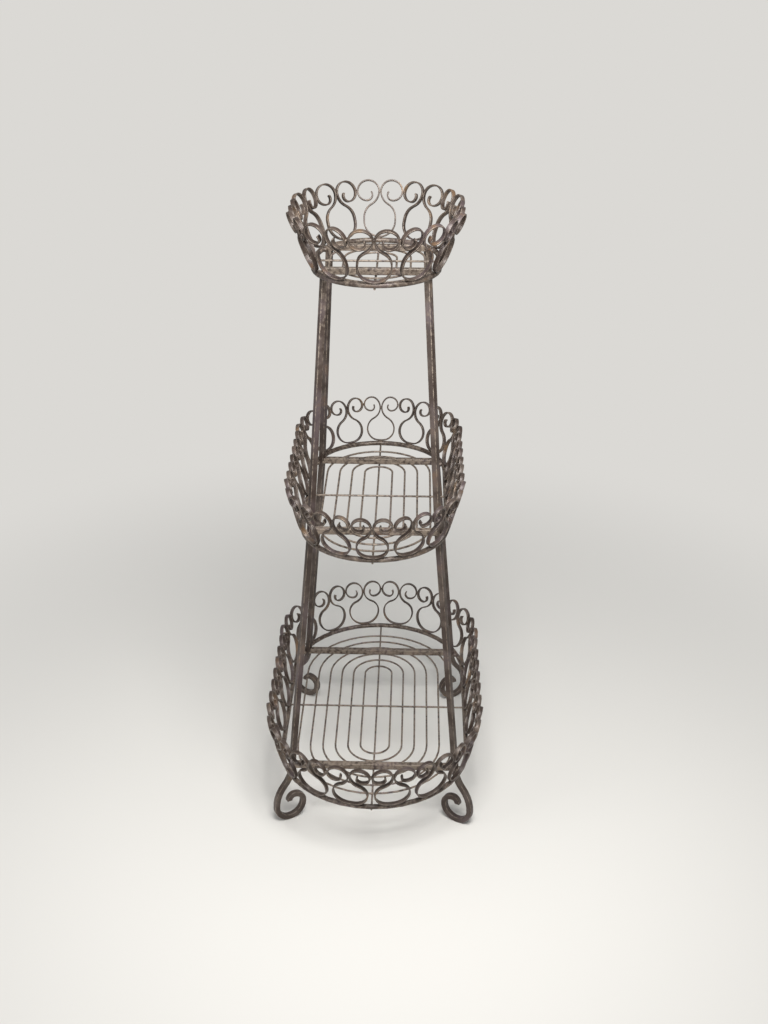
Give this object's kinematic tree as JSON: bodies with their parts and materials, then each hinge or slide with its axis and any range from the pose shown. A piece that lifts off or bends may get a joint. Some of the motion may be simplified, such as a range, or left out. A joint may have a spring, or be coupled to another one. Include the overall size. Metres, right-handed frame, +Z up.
{
  "type": "basket stand",
  "caption": "Tall three-tier oval basket stand of painted wrought iron with scrollwork walls and scroll feet, for pots or baked goods.",
  "frame": {"origin": "centre of the bounding box at the floor, between the four scroll feet", "axes": "+X across the narrow width, +Y along the long side of the oval baskets, +Z up"},
  "size_m": [0.4426, 0.7366, 1.22],
  "materials": {
    "frame_bars": "satin",
    "rings_and_wires": "satin",
    "scroll_strips": "satin"
  },
  "bodies": {
    "root": {"bottom_across_wire": "rings_and_wires", "bottom_floor_wire_1": "rings_and_wires", "bottom_floor_wire_2": "rings_and_wires", "bottom_floor_wire_3": "rings_and_wires", "bottom_floor_wire_4": "rings_and_wires", "bottom_floor_wire_5": "rings_and_wires", "bottom_floor_wire_6": "rings_and_wires", "bottom_front_bar": "frame_bars", "bottom_front_scrolls": "scroll_strips", "bottom_left_scrolls": "scroll_strips", "bottom_lengthwise_wire": "rings_and_wires", "bottom_rear_bar": "frame_bars", "bottom_rear_scrolls": "scroll_strips", "bottom_right_scrolls": "scroll_strips", "bottom_ring": "rings_and_wires", "middle_across_wire": "rings_and_wires", "middle_floor_wire_1": "rings_and_wires", "middle_floor_wire_2": "rings_and_wires", "middle_floor_wire_3": "rings_and_wires", "middle_floor_wire_4": "rings_and_wires", "middle_front_bar": "frame_bars", "middle_front_scrolls": "scroll_strips", "middle_left_scrolls": "scroll_strips", "middle_lengthwise_wire": "rings_and_wires", "middle_rear_bar": "frame_bars", "middle_rear_scrolls": "scroll_strips", "middle_right_scrolls": "scroll_strips", "middle_ring": "rings_and_wires", "top_across_wire": "rings_and_wires", "top_floor_wire_1": "rings_and_wires", "top_floor_wire_2": "rings_and_wires", "top_floor_wire_3": "rings_and_wires", "top_front_bar": "frame_bars", "top_front_scrolls": "scroll_strips", "top_left_scrolls": "scroll_strips", "top_lengthwise_wire": "rings_and_wires", "top_rear_bar": "frame_bars", "top_rear_scrolls": "scroll_strips", "top_right_scrolls": "scroll_strips", "top_ring": "rings_and_wires", "upright_front_left": "frame_bars", "upright_front_right": "frame_bars", "upright_rear_left": "frame_bars", "upright_rear_right": "frame_bars"}
  },
  "joints": []
}
